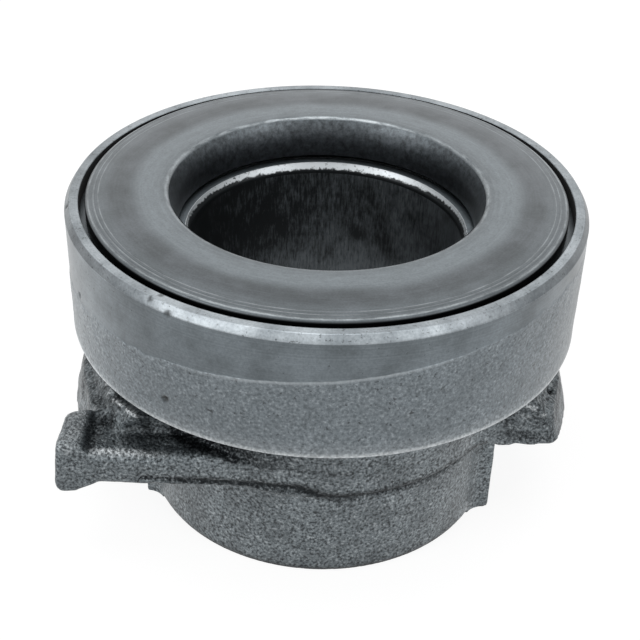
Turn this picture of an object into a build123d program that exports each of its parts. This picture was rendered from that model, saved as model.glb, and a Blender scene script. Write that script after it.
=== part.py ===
from build123d import *
import math
import os

# Clutch-release thrust bearing: a cast carrier slides on a round quill, the fork pushes
# under its two wings, and a crowned thrust ring turns on balls in the cup at its top.
# Millimetres, +Z towards the thrust face. The origin is the middle of the hub's bottom face.
# The wings point along -X and +X, and the -X wing has its lug at the -Y end.

# Bore and hub of the carrier
bore_diameter = 60.0
bore_chamfer = 1.0
hub_radius = 40.8
neck_radius = 42.0
neck_bottom = 22.5
pad_width = 34.0
pad_reach = 40.4
pad_offset = 0.9
edge_round = 0.8

# Cup that holds the ball race
cup_bottom = 45.8
race_space_width = 19.7
cup_wall = 3.0
cup_floor_thickness = 7.4
cup_root_round = 4.0
rim_chamfer_width = 1.0
rim_chamfer_height = 1.6
turned_band_height = 10.0
cast_skin = 0.15

# Inner tube that stands in the middle of the cup
tube_radius = 33.4
tube_top_drop = 9.3
tube_lead_in_width = 0.9
tube_lead_in_height = 1.75

# Wings, one at each side, the same when the carrier is turned by half a turn
wing_top = 31.8
wing_foot_radius = 57.7
wing_crest_radius = 55.0
wing_long_side = 39.8
wing_short_side = 21.5
wing_corner_round = 3.5
wing_root_round = 10.0
wing_top_round = 1.0
wing_underside_round = 0.6
pocket_floor = 30.8
pocket_width = 11.7
arm_edge_round = 2.4
arm_underside_round = 1.6

# Lug at the long end of each wing
lug_top_reach = 55.0
lug_foot_reach = 56.3
lug_thickness = 5.2
lug_length = 13.6
lug_top = 32.4
lug_foot = 19.8
lug_foot_width = 4.5
lug_heel_width = 9.1
lug_foot_round = 2.0
lug_back_round = 3.6
pocket_wall_slope = 1.2

# Raised shoulder at the root of each wing
shoulder_top = 35.4
shoulder_crest_radius = 51.0
shoulder_foot_radius = 53.4
shoulder_front = 32.0
shoulder_round = 1.0

# Ball race
ball_diameter = 11.112
ball_count = 18
groove_conformity = 0.54
groove_depth = 2.6
ball_play = 0.05
lower_race_thickness = 6.6
race_fit = 0.1
race_edge_chamfer = 0.5

# Ball cage
cage_thickness = 3.0
cage_side_clearance = 1.0
cage_pocket_play = 0.15

# Thrust ring
ring_gap = 1.35
ring_thickness = 9.05
throat_ridge_radius = 34.25
throat_radius = 32.4
throat_lip_height = 0.9
face_edge_drop = 0.3
face_crown = 0.25
face_edge_round = 0.8
face_stand_out = 0.86

# Snap ring that keeps the thrust ring in the cup
snap_ring_width = 3.2
snap_ring_height = 1.6
snap_ring_depth = 3.4
snap_ring_gap = 6.0
snap_seat_depth = 1.0
snap_seat_play = 0.05
snap_ring_lift = 0.5
snap_closing_room = 0.2

# Heights and radii that follow from the sizes above
bore_radius = bore_diameter / 2
cup_inner_radius = tube_radius + race_space_width
cup_radius = cup_inner_radius + cup_wall
ring_radius = cup_inner_radius - ring_gap
cage_inner_radius = tube_radius + cage_side_clearance
cage_outer_radius = cup_inner_radius - cage_side_clearance
ball_pitch_radius = (tube_radius + cup_inner_radius) / 2
race_floor = cup_bottom + cup_floor_thickness
lower_land = race_floor + lower_race_thickness
ball_center_height = lower_land - groove_depth + ball_play + ball_diameter / 2
ring_underside = 2 * ball_center_height - lower_land
ridge_height = ring_underside + ring_thickness
rim_height = ridge_height - face_stand_out
tube_top = rim_height - tube_top_drop
groove_radius = groove_conformity * ball_diameter
lower_groove_center = lower_land - groove_depth + groove_radius
upper_groove_center = ring_underside + groove_depth - groove_radius
snap_ring_outer = cup_inner_radius + snap_seat_depth
snap_ring_top = rim_height - snap_ring_depth
snap_ring_bottom = snap_ring_top - snap_ring_height
ring_slot_radius = cup_inner_radius - snap_ring_width - snap_closing_room
wing_depth = wing_long_side + wing_short_side

# How close a corner or an edge must lie to a line to be picked there
picking_distance = 0.01


# Raised shoulder between the wing and the neck, with a slanted outer wall
with BuildPart() as shoulder:
    with BuildSketch(Plane.XY.offset(neck_bottom)) as shoulder_plan:
        Circle(neck_radius)
        with Locations((0, wing_short_side)):
            Rectangle(
                shoulder_foot_radius,
                shoulder_front + wing_short_side,
                align=(Align.MAX, Align.MAX),
            )
        root_corner = shoulder_plan.vertices().filter_by(
            lambda v: abs(v.Y - wing_short_side) < picking_distance and v.X > -neck_radius
        )
        fillet(root_corner, radius=wing_root_round)
    extrude(amount=shoulder_top - neck_bottom)
    with BuildSketch(Plane.XZ):
        with BuildLine():
            Polyline(
                (0, neck_bottom),
                (-shoulder_foot_radius, neck_bottom),
                (-shoulder_foot_radius, wing_top),
                (-shoulder_crest_radius, shoulder_top),
                (0, shoulder_top),
                close=True,
            )
        make_face()
    revolve(axis=Axis.Z, mode=Mode.INTERSECT)
    crest = shoulder.faces().sort_by(Axis.Z)[-1]
    fillet(
        crest.edges().filter_by(lambda e: e.center().X < -neck_radius),
        radius=shoulder_round,
    )

# Lug with a foot that hangs below the wing
with BuildPart() as lug:
    with BuildSketch(Plane.XZ.offset(wing_long_side)) as lug_section:
        with BuildLine():
            Polyline(
                (-lug_foot_reach, lug_foot),
                (-lug_top_reach, lug_top),
                (-lug_top_reach + lug_thickness, lug_top),
                (-lug_top_reach + lug_thickness + pocket_wall_slope, pocket_floor),
                (-lug_foot_reach + lug_heel_width, neck_bottom),
                (-lug_foot_reach + lug_foot_width, lug_foot),
                close=True,
            )
        make_face()
        foot_corner = lug_section.vertices().group_by(Axis.Y)[0].sort_by(Axis.X)[0]
        fillet(foot_corner, radius=lug_foot_round)
    extrude(amount=-lug_length)
    back_face = lug.faces().sort_by(Axis.Y)[-1]
    fillet(back_face.edges().sort_by(Axis.X)[0], radius=lug_back_round)
    front_face = lug.faces().sort_by(Axis.Y)[0]
    front_edges = front_face.edges().filter_by(
        lambda e: e.center().X < -lug_top_reach + lug_thickness or e.center().Z < neck_bottom
    )
    fillet(front_edges, radius=edge_round)

# One wing, pointing along -X: a drafted plate, the lower arm in front of it and the lug
with BuildPart() as wing:
    for height, radius in ((neck_bottom, wing_foot_radius), (wing_top, wing_crest_radius)):
        with BuildSketch(Plane.XY.offset(height)) as wing_plan:
            with Locations((0, wing_short_side)):
                Rectangle(
                    radius,
                    wing_depth - pocket_width,
                    align=(Align.MAX, Align.MAX),
                )
            Circle(radius, mode=Mode.INTERSECT)
            outer_corner = wing_plan.vertices().group_by(Axis.Y)[-1].sort_by(Axis.X)[0]
            fillet(outer_corner, radius=wing_corner_round)
    loft(ruled=True)
    plate_underside = wing.faces().sort_by(Axis.Z)[0]
    underside_edges = plate_underside.edges().filter_by(
        lambda e: e.center().X < -neck_radius
    )
    fillet(underside_edges, radius=wing_underside_round)
    plate_top = wing.faces().sort_by(Axis.Z)[-1]
    top_edges = plate_top.edges().filter_by(
        lambda e: e.center().X < -neck_radius or e.center().Y > wing_short_side - picking_distance
    )
    fillet(top_edges, radius=wing_top_round)
    with BuildSketch(Plane.XY.offset(neck_bottom)):
        with Locations((0, -wing_long_side)):
            Rectangle(
                lug_top_reach - edge_round,
                pocket_width + wing_top_round,
                align=(Align.MAX, Align.MIN),
            )
    extrude(amount=pocket_floor - neck_bottom)
    arm_front = wing.edges().filter_by(Axis.X).group_by(Axis.Y)[0].sort_by(Axis.Z)
    fillet(arm_front[-1], radius=arm_edge_round)
    arm_front = wing.edges().filter_by(Axis.X).group_by(Axis.Y)[0].sort_by(Axis.Z)
    fillet(arm_front[0], radius=arm_underside_round)
    add(shoulder.part)
    add(lug.part)

# The carrier casting
with BuildPart() as carrier:
    with BuildSketch(Plane.XZ) as body_section:
        with BuildLine():
            Polyline(
                (0, neck_bottom),
                (neck_radius, neck_bottom),
                (neck_radius, cup_bottom),
                (cup_radius + cast_skin, cup_bottom),
                (cup_radius + cast_skin, rim_height - turned_band_height),
                (cup_radius, rim_height - turned_band_height),
                (cup_radius, rim_height - rim_chamfer_height),
                (cup_radius - rim_chamfer_width, rim_height),
                (0, rim_height),
                close=True,
            )
        make_face()
        cup_root = body_section.vertices().filter_by(
            lambda v: abs(v.X - neck_radius) < picking_distance and v.Y > neck_bottom + picking_distance
        )
        fillet(cup_root, radius=cup_root_round)
    revolve(axis=Axis.Z)
    with BuildSketch():
        Circle(hub_radius)
        with PolarLocations(0, 2):
            with Locations((-pad_reach / 2, pad_offset)):
                Rectangle(pad_reach, pad_width)
        Rectangle(2 * pad_reach, 2 * hub_radius, mode=Mode.INTERSECT)
    extrude(amount=neck_bottom)
    with PolarLocations(0, 2):
        add(wing.part)
    with BuildSketch(Plane.XZ):
        with BuildLine():
            Polyline(
                (0, 0),
                (bore_radius + bore_chamfer, 0),
                (bore_radius, bore_chamfer),
                (bore_radius, tube_top - tube_lead_in_height),
                (bore_radius + tube_lead_in_width, tube_top),
                (tube_radius, tube_top),
                (tube_radius, race_floor),
                (cup_inner_radius, race_floor),
                (cup_inner_radius, snap_ring_bottom - snap_seat_play),
                (snap_ring_outer, snap_ring_bottom - snap_seat_play),
                (snap_ring_outer, snap_ring_top + snap_seat_play),
                (cup_inner_radius, snap_ring_top + snap_seat_play),
                (cup_inner_radius, rim_height),
                (0, rim_height),
                close=True,
            )
        make_face()
    revolve(axis=Axis.Z, mode=Mode.SUBTRACT)

# Lower race, which sits on the floor of the cup
with BuildPart() as lower_race:
    with BuildSketch(Plane.XZ) as race_section:
        with BuildLine():
            Polyline(
                (tube_radius + race_fit, race_floor),
                (cup_inner_radius - race_fit, race_floor),
                (cup_inner_radius - race_fit, lower_land),
                (tube_radius + race_fit, lower_land),
                close=True,
            )
        make_face()
        chamfer(race_section.vertices(), length=race_edge_chamfer)
        with Locations((ball_pitch_radius, lower_groove_center)):
            Circle(groove_radius, mode=Mode.SUBTRACT)
    revolve(axis=Axis.Z)

# Thrust ring: crowned face, bell-mouthed throat, ball groove below, slot for the snap ring
with BuildPart() as thrust_ring:
    with BuildSketch(Plane.XZ) as ring_section:
        with BuildLine():
            face_line = Line(
                (throat_ridge_radius, ridge_height),
                (ring_radius, ridge_height - face_edge_drop),
                mode=Mode.PRIVATE,
            )
            crown_top = face_line @ 0.5 + Vector(0, face_crown)
            ThreePointArc(face_line @ 0, crown_top, face_line @ 1)
            Polyline(
                face_line @ 1,
                (ring_radius, ring_underside),
                (throat_radius, ring_underside),
                (throat_radius, ring_underside + throat_lip_height),
            )
            TangentArc(
                (throat_radius, ring_underside + throat_lip_height),
                (throat_ridge_radius, ridge_height),
                tangent=(0, 1),
            )
        make_face()
        outer_corner = ring_section.vertices().filter_by(
            lambda v: v.X > ring_radius - picking_distance and v.Y > lower_groove_center
        )
        fillet(outer_corner, radius=face_edge_round)
        lower_corners = ring_section.vertices().filter_by(
            lambda v: v.X > ring_radius - picking_distance and v.Y < ring_underside + picking_distance
        )
        chamfer(lower_corners, length=race_edge_chamfer)
        with Locations((ball_pitch_radius, upper_groove_center)):
            Circle(groove_radius, mode=Mode.SUBTRACT)
        with Locations((ring_radius, snap_ring_bottom - snap_ring_lift)):
            Rectangle(
                ring_radius - ring_slot_radius,
                snap_ring_height + 2 * snap_ring_lift,
                align=(Align.MAX, Align.MIN),
                mode=Mode.SUBTRACT,
            )
    revolve(axis=Axis.Z)

# Flat-wire snap ring in the wall of the cup, split at the back
with BuildPart() as snap_ring:
    with BuildSketch(Plane.YZ):
        with Locations((snap_ring_outer, snap_ring_bottom)):
            Rectangle(snap_ring_width, snap_ring_height, align=(Align.MAX, Align.MIN))
    revolve(axis=Axis.Z, revolution_arc=360 - math.degrees(snap_ring_gap / snap_ring_outer))

# Cage: a flat ring with a round pocket for each ball
with BuildPart() as ball_cage:
    with BuildSketch(Plane.XY.offset(ball_center_height - cage_thickness / 2)):
        Circle(cage_outer_radius)
        Circle(cage_inner_radius, mode=Mode.SUBTRACT)
        with PolarLocations(ball_pitch_radius, ball_count):
            Circle(ball_diameter / 2 + cage_pocket_play, mode=Mode.SUBTRACT)
    extrude(amount=cage_thickness)

os.makedirs("parts", exist_ok=True)

named_parts = {
    "carrier": carrier,
    "lower_race": lower_race,
    "thrust_ring": thrust_ring,
    "snap_ring": snap_ring,
    "ball_cage": ball_cage,
}
for part_name, builder in named_parts.items():
    builder.part.label = part_name
    export_step(builder.part, f"parts/{part_name}.step")

# Balls, numbered round the race from +X
for number in range(1, ball_count + 1):
    turn = math.radians((number - 1) * 360 / ball_count)
    ball_place = Plane(
        (
            ball_pitch_radius * math.cos(turn),
            ball_pitch_radius * math.sin(turn),
            ball_center_height,
        )
    )
    with BuildPart(ball_place) as ball:
        Sphere(ball_diameter / 2)
    ball_name = f"ball_{number:02d}"
    ball.part.label = ball_name
    export_step(ball.part, f"parts/{ball_name}.step")
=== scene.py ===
import math
import bpy
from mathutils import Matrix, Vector, noise


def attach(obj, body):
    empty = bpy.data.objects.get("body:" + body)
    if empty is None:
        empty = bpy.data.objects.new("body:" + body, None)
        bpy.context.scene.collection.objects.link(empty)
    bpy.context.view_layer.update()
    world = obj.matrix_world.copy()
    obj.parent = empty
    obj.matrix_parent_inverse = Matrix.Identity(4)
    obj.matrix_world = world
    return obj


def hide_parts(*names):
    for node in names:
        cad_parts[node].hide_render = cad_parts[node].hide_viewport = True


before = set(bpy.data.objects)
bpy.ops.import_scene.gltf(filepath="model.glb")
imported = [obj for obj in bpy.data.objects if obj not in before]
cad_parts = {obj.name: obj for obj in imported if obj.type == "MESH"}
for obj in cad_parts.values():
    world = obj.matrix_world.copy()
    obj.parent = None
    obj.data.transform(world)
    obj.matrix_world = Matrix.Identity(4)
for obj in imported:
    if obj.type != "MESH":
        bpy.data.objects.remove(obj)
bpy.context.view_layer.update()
mm = 0.001
print("frame loaded")


# Small helpers, used by every piece and material

weld = 0.004 * mm  # points nearer than this become one


def toLinear(hexCode):  # an sRGB hex value as the linear colour that sockets take
    values = [int(hexCode[i:i + 2], 16) / 255 for i in (1, 3, 5)]
    return [v / 12.92 if v < 0.04045 else ((v + 0.055) / 1.055) ** 2.4 for v in values] + [1.0]


def addNode(tree, kind, sockets=None, output=0, **settings):  # gives one output, or the node
    node = tree.nodes.new("ShaderNode" + kind)
    for name, value in settings.items():
        setattr(node, name, value)
    for name, value in (sockets or {}).items():
        if isinstance(value, bpy.types.NodeSocket):
            tree.links.new(value, node.inputs[name])
        elif isinstance(value, str) and value.startswith("#"):
            node.inputs[name].default_value = toLinear(value)
        else:
            node.inputs[name].default_value = value
    return node if output is None else node.outputs[output]


def newMaterial(name):
    material = bpy.data.materials.new(name)
    material.use_nodes = True
    material.node_tree.nodes.clear()
    return material


def newSurface(name):  # a material, its node tree and the place on the piece, in metres
    material = newMaterial(name)
    tree = material.node_tree
    return material, tree, addNode(tree, "TexCoord", output="Object")


def seenDirectly(tree):  # 1 for what the camera sees itself, in a mirror or through glass
    path = addNode(tree, "LightPath", output=None)
    seen = addNode(
        tree, "Math", {0: path.outputs["Is Camera Ray"], 1: path.outputs["Is Glossy Ray"]},
        operation="MAXIMUM",
    )
    return addNode(tree, "Math", {0: seen, 1: path.outputs["Is Transmission Ray"]}, operation="MAXIMUM")


def only(piece):  # nothing else is selected, because an operator acts on all that is
    bpy.ops.object.select_all(action="DESELECT")
    piece.select_set(True)
    bpy.context.view_layer.objects.active = piece


def editMesh(piece):
    only(piece)
    bpy.ops.object.mode_set(mode="EDIT")
    bpy.ops.mesh.select_mode(type="VERT")


def onAll(operator, **settings):  # an operator of edit mode, on the whole mesh
    bpy.ops.mesh.select_all(action="SELECT")
    operator(**settings)


def selectFaces(piece, wanted):  # picks faces by a test on their centre, in edit mode
    bpy.ops.mesh.select_mode(type="FACE")
    bpy.ops.mesh.select_all(action="DESELECT")
    bpy.ops.object.mode_set(mode="OBJECT")
    for face in piece.data.polygons:
        face.select = wanted(face.center)
    bpy.ops.object.mode_set(mode="EDIT")


def storeAttributes(piece, attributes):  # one number for each point, which materials read
    for name, values in attributes.items():
        attribute = piece.data.attributes.new(name, "FLOAT", "POINT")
        attribute.data.foreach_set("value", values)


def finishPiece(piece, body, nodes, angle=32):
    only(piece)
    bpy.ops.object.shade_smooth_by_angle(angle=math.radians(angle))
    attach(piece, body)
    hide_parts(*nodes)


def smoothStep(start, end, value):  # 0 before start, 1 past end, also where end is the lower
    t = min(1.0, max(0.0, (value - start) / (end - start)))
    return t * t * (3 - 2 * t)


def softBox(place, limits):  # 1 inside all limits; each is a direction, none here, full here
    share = 1.0
    for direction, start, end in limits:
        share *= smoothStep(start, end, place[direction])
    return share


def between(table, place):  # the value at a place, on straight lines between the table's pairs
    for (start, low), (end, high) in zip(table, table[1:]):
        if start <= place <= end:
            return low + (high - low) * (place - start) / (end - start)
    return table[0][1]


def nearLine(point, start, end):  # how far a place is from a straight run, in the same unit
    start, end = Vector(start), Vector(end)
    share = max(0.0, min(1.0, (point - start).dot(end - start) / (end - start).length_squared))
    return (point - start.lerp(end, share)).length


def spinProfile(name, points, steps):  # a closed outline in mm, turned once round the axis
    bpy.ops.mesh.primitive_plane_add(size=2 * mm, location=(0, 0, 0))
    piece = bpy.context.active_object
    piece.name = piece.data.name = name
    editMesh(piece)
    onAll(bpy.ops.mesh.merge, type="CENTER")
    here = Vector((points[0][0] * mm, 0, points[0][1] * mm))
    bpy.ops.transform.translate(value=here)
    for radius, height in points[1:] + points[:1]:
        there = Vector((radius * mm, 0, height * mm))
        bpy.ops.mesh.extrude_region_move(TRANSFORM_OT_translate={"value": there - here})
        here = there
    onAll(bpy.ops.mesh.remove_doubles, threshold=weld)
    bpy.ops.object.mode_set(mode="OBJECT")
    turn = piece.modifiers.new("turn", "SCREW")
    turn.steps = turn.render_steps = steps
    turn.use_merge_vertices = True
    turn.merge_threshold = weld
    bpy.ops.object.modifier_apply(modifier="turn")
    editMesh(piece)
    onAll(bpy.ops.mesh.remove_doubles, threshold=weld)
    bpy.ops.mesh.normals_make_consistent(inside=False)
    bpy.ops.object.mode_set(mode="OBJECT")
    return piece


def along(start, end, spacing):  # points on a straight run, without its last one
    count = max(1, round(math.dist(start, end) / spacing))
    return [
        (start[0] + (end[0] - start[0]) * i / count, start[1] + (end[1] - start[1]) * i / count)
        for i in range(count)
    ]


def arc(center, radius, fromAngle, toAngle, count):  # points on an arc, ends included
    turns = [math.radians(fromAngle + (toAngle - fromAngle) * i / count) for i in range(count + 1)]
    return [(center[0] + radius * math.cos(a), center[1] + radius * math.sin(a)) for a in turns]


# Camera, lamps, floor

view = {
    "place": (0, -0.23945, 0.20184),
    "turn": (55.8908, -1.5337, 1.2076),  # degrees
    "lens": 70.3125,  # mm, on a sensor 36 mm wide
    "sensor": 36,
    "near": 0.01,
}
bpy.ops.object.camera_add(
    location=view["place"], rotation=[math.radians(a) for a in view["turn"]]
)
camera = bpy.context.active_object
camera.data.lens = view["lens"]
camera.data.sensor_width = view["sensor"]
camera.data.clip_start = view["near"]
bpy.context.scene.camera = camera
bpy.context.scene.view_settings.view_transform = "Standard"

studio = {
    "aim": (0, 0, 0.05),
    "lamps": {
        # name: place, size, power
        "overhead": ((0.0, 0.05, 0.80), (0.70, 0.60), 2.3),
        "frontLeft": ((-0.55, -0.40, 0.38), (0.45, 0.40), 1.7),
        "frontRight": ((0.55, -0.42, 0.36), (0.40, 0.40), 1.05),
        "back": ((0.0, 0.75, 0.52), (0.90, 0.50), 0.7),
    },
    "white": "#ffffff",
    "tentLight": 0.45,  # what the tent gives off; seen itself it is full white
    "paperGrey": "#7c7c7c",
    "paperGlow": 0.88,  # the paper's own share of its white
    "floorSize": 8,
}
for name, (place, size, power) in studio["lamps"].items():
    bpy.ops.object.light_add(type="AREA", location=place)
    lamp = bpy.context.active_object
    lamp.name = lamp.data.name = name + "Softbox"
    aim = Vector(studio["aim"]) - Vector(place)
    lamp.rotation_euler = aim.to_track_quat("-Z", "Y").to_euler()
    lamp.data.shape = "RECTANGLE"
    lamp.data.size, lamp.data.size_y = size
    lamp.data.energy = power
    lamp.visible_camera = False

world = bpy.data.worlds.new("whiteTent")
bpy.context.scene.world = world
world.use_nodes = True
tree = world.node_tree
tree.nodes.clear()
strength = addNode(tree, "MapRange", {"Value": seenDirectly(tree), "To Min": studio["tentLight"]})
shade = addNode(tree, "Background", {"Color": studio["white"], "Strength": strength})
addNode(tree, "OutputWorld", {"Surface": shade}, output=None)

# White sweep paper: mostly its own white, the rest takes the light and so keeps the shadow
paper = newMaterial("mattSweepPaper")
tree = paper.node_tree
glow = addNode(tree, "MapRange", {"Value": seenDirectly(tree), "To Max": studio["paperGlow"]})
lift = addNode(tree, "Emission", {"Color": studio["white"], "Strength": glow})
matt = addNode(tree, "BsdfDiffuse", {"Color": studio["paperGrey"], "Roughness": 0.5})
both = addNode(tree, "AddShader", {0: lift, 1: matt})
addNode(tree, "OutputMaterial", {"Surface": both}, output=None)

bpy.ops.mesh.primitive_plane_add(size=studio["floorSize"], location=(0, 0, 0))
floor = bpy.context.active_object
floor.name = floor.data.name = "sweepFloor"
floor.data.materials.append(paper)
print("camera, lamps and floor done")


# Materials

iron = {
    "castDark": "#2b3033",
    "castMid": "#767e82",
    "castLight": "#b9bfc2",
    "wallDark": "#535a5e",
    "wallMid": "#6d757a",
    "wallLight": "#979ea2",
    # near black of old grease, also used for painted shade in hollows, along the seam and down the gap
    "greaseAndShade": "#101316",
    "turned": "#676f74",
    "turnedStain": "#50575b",
    "rim": "#8b9195",
    "rimStain": "#666c70",
    "lip": "#a3a9ad",
    "gap": "#0d0f10",
    "bore": "#26292b",
    "boreSmudgeAndLight": "#6b7175",
    "leadIn": "#bdc2c5",
    # the pale colour of painted highlights
    "paintedHighlight": "#e4e8ea",
}


def spotted(tree, place, size, detail, roughness, low, high, least=0.0, most=1.0):
    # Noise with spots of this size in mm, cut between two levels
    level = addNode(
        tree, "TexNoise",
        {"Vector": place, "Scale": 1 / (size * mm), "Detail": detail, "Roughness": roughness},
    )
    return addNode(
        tree, "MapRange",
        {"Value": level, "From Min": low, "From Max": high, "To Min": least, "To Max": most},
    )


def castLook(tree, place, dark, mid, light, sparkle):
    # As cast in green sand: grains of 0.62 mm, broad patches of darker scale, painted shade and black
    # grease in the corners, paler metal where the grains stand out, and painted highlights along edges
    # that catch the light
    grain = addNode(tree, "TexNoise", {"Vector": place, "Scale": 1 / (0.62 * mm), "Roughness": 0.6})
    low = addNode(tree, "MapRange", {"Value": grain, "From Min": 0.34, "From Max": 0.52})
    base = addNode(tree, "Mix", {0: low, 6: dark, 7: mid}, data_type="RGBA", output=2)
    high = addNode(tree, "MapRange", {"Value": grain, "From Min": 0.56, "From Max": 0.74, "To Max": 0.8})
    color = addNode(tree, "Mix", {0: high, 6: base, 7: light}, data_type="RGBA", output=2)
    scale = spotted(tree, place, size=8, detail=4.0, roughness=0.5, low=0.38, high=0.68, most=0.4)
    color = addNode(tree, "Mix", {0: scale, 6: color, 7: dark}, data_type="RGBA", output=2)
    pits = spotted(
        tree, place, size=1.1, detail=3.0, roughness=0.6, low=0.30, high=0.37, least=0.75, most=0.0
    )
    color = addNode(tree, "Mix", {0: pits, 6: color, 7: iron["greaseAndShade"]}, data_type="RGBA", output=2)
    # painted highlight: pale speckles from a stored mask, along edges that catch the light
    paintedHighlight = addNode(tree, "Attribute", attribute_name="paintedHighlight", output="Fac")
    glints = addNode(
        tree, "MapRange", {"Value": grain, "From Min": 0.40, "From Max": 0.60, "To Min": sparkle}
    )
    paintedHighlight = addNode(tree, "Math", {0: paintedHighlight, 1: glints}, operation="MULTIPLY")
    color = addNode(tree, "Mix", {0: paintedHighlight, 6: color, 7: iron["paintedHighlight"]}, data_type="RGBA", output=2)
    # painted shade: ambient occlusion and a stored mask of shade and grime darken hollows and corners
    # toward near black
    corner = addNode(tree, "AmbientOcclusion", {"Distance": 10 * mm}, samples=8, output="AO")
    clean = addNode(tree, "MapRange", {"Value": corner, "From Min": 0.22, "From Max": 0.66})
    grimeAndShade = addNode(tree, "Attribute", attribute_name="grimeAndShade", output="Fac")
    specks = addNode(  # the grains stand out of the painted shade and grease
        tree, "MapRange",
        {"Value": grain, "From Min": 0.40, "From Max": 0.66, "To Min": 1.06, "To Max": 0.62},
    )
    grimeAndShade = addNode(tree, "Math", {0: grimeAndShade, 1: specks}, operation="MULTIPLY")
    clean = addNode(tree, "Math", {0: clean, 1: grimeAndShade}, operation="SUBTRACT", use_clamp=True)
    color = addNode(tree, "Mix", {0: clean, 6: iron["greaseAndShade"], 7: color}, data_type="RGBA", output=2)
    rough = addNode(tree, "MapRange", {"Value": grain, "To Min": 0.62, "To Max": 0.42})
    return color, rough, grain, clean


def turnedLook(tree, place, main, stain):
    # Turned on a lathe: fine rings of tool marks, with darker stains on top
    parts = addNode(tree, "SeparateXYZ", {0: place}, output=None)
    flat = addNode(tree, "CombineXYZ", {0: parts.outputs[0], 1: parts.outputs[1]})
    radius = addNode(tree, "VectorMath", {0: flat}, operation="LENGTH", output="Value")
    across = addNode(tree, "Math", {0: radius, 1: parts.outputs[2]}, operation="ADD")
    lines = addNode(tree, "TexNoise", {"W": across, "Scale": 1 / (0.35 * mm)}, noise_dimensions="1D")
    patch = addNode(
        tree, "TexNoise", {"Vector": place, "Scale": 1 / (7 * mm), "Detail": 5.0, "Roughness": 0.6}
    )
    dirty = addNode(
        tree, "MapRange", {"Value": patch, "From Min": 0.36, "From Max": 0.66, "To Max": 0.85}
    )
    color = addNode(tree, "Mix", {0: dirty, 6: main, 7: stain}, data_type="RGBA", output=2)
    speck = addNode(
        tree, "TexNoise", {"Vector": place, "Scale": 1 / (0.5 * mm), "Detail": 3.0, "Roughness": 0.6}
    )
    tone = addNode(tree, "Math", {0: lines, 1: 0.5, 2: speck}, operation="MULTIPLY_ADD")
    tone = addNode(
        tree, "MapRange",
        {"Value": tone, "From Min": 0.58, "From Max": 0.92, "To Min": 0.86, "To Max": 1.14},
    )
    color = addNode(tree, "VectorMath", {0: color, "Scale": tone}, operation="SCALE")
    rough = addNode(tree, "MapRange", {"Value": patch, "To Min": 0.34, "To Max": 0.52})
    return color, rough, lines


def shadeWith(tree, color, rough, height, relief, metallic, oil):  # relief in mm
    bump = addNode(tree, "Bump", {"Distance": relief * mm, "Height": height})
    shader = addNode(
        tree, "BsdfPrincipled",
        {
            "Base Color": color,
            "Roughness": rough,
            "Metallic": metallic,
            "Normal": bump,
            "Coat Weight": oil,
            "Coat Roughness": 0.30,
            "Coat IOR": 1.45,
        },
    )
    addNode(tree, "OutputMaterial", {"Surface": shader}, output=None)


# Grey cast iron, as cast: a dull dark grain under a thin film of oil
castIron, tree, place = newSurface("greyIronSandCast")
color, rough, height, clean = castLook(
    tree, place, iron["castDark"], iron["castMid"], iron["castLight"], sparkle=0.15
)
# The seam under arm and neck, a shallow sunken groove, is painted as a ragged black line, the shadow
# under the step. The casting gives how far away it is and how wide, in mm; the grain breaks its edges
gap = addNode(tree, "Attribute", attribute_name="seamGap", output="Fac")
half = addNode(tree, "Attribute", attribute_name="seamHalf", output="Fac")
wobble = spotted(
    tree, place, size=2.2, detail=4.0, roughness=0.6, low=0.0, high=1.0, least=-0.9, most=0.9
)
broken = addNode(tree, "MapRange", {"Value": height, "To Min": -1.1, "To Max": 1.1})
gap = addNode(tree, "Math", {0: gap, 1: wobble}, operation="ADD")
gap = addNode(tree, "Math", {0: gap}, operation="ABSOLUTE")
gap = addNode(tree, "Math", {0: gap, 1: broken}, operation="ADD")
share = addNode(tree, "Math", {0: gap, 1: half}, operation="DIVIDE")
share = addNode(tree, "MapRange", {"Value": share, "From Min": 0.2, "From Max": 1.5, "To Min": 0.1})
color = addNode(tree, "Mix", {0: share, 6: iron["greaseAndShade"], 7: color}, data_type="RGBA", output=2)
oil = addNode(tree, "Math", {0: share, 1: clean}, operation="MULTIPLY")
oil = addNode(tree, "Math", {0: oil, 1: 0.5}, operation="MULTIPLY")
shadeWith(tree, color, rough, height, relief=0.30, metallic=0.9, oil=oil)

# The wall of the cup: turned at its top and as cast below, with a ragged line between
cupIron, tree, place = newSurface("greyIronPartTurned")
castColor, castRough, castHeight, _ = castLook(
    tree, place, iron["wallDark"], iron["wallMid"], iron["wallLight"], sparkle=0.6
)
color, rough, height = turnedLook(tree, place, iron["turned"], iron["turnedStain"])
depth = addNode(tree, "Attribute", attribute_name="turnedDepth", output="Fac")
share = addNode(tree, "MapRange", {"Value": depth, "From Min": -0.12, "From Max": 0.12})
lip = addNode(  # the edge of the cast skin, where the tool ran out, shows bright metal
    tree, "MapRange", {"Value": depth, "From Min": -0.8, "From Max": -0.3, "To Max": 0.5}
)
x = addNode(tree, "SeparateXYZ", {0: place})
sides = addNode(tree, "Math", {0: x}, operation="ABSOLUTE")
sides = addNode(
    tree, "MapRange",
    {"Value": sides, "From Min": 14 * mm, "From Max": 30 * mm, "To Min": 1.0, "To Max": 0.2},
)
lip = addNode(tree, "Math", {0: lip, 1: sides}, operation="MULTIPLY")
castColor = addNode(tree, "Mix", {0: lip, 6: castColor, 7: iron["lip"]}, data_type="RGBA", output=2)
color = addNode(tree, "Mix", {0: share, 6: castColor, 7: color}, data_type="RGBA", output=2)
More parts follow.
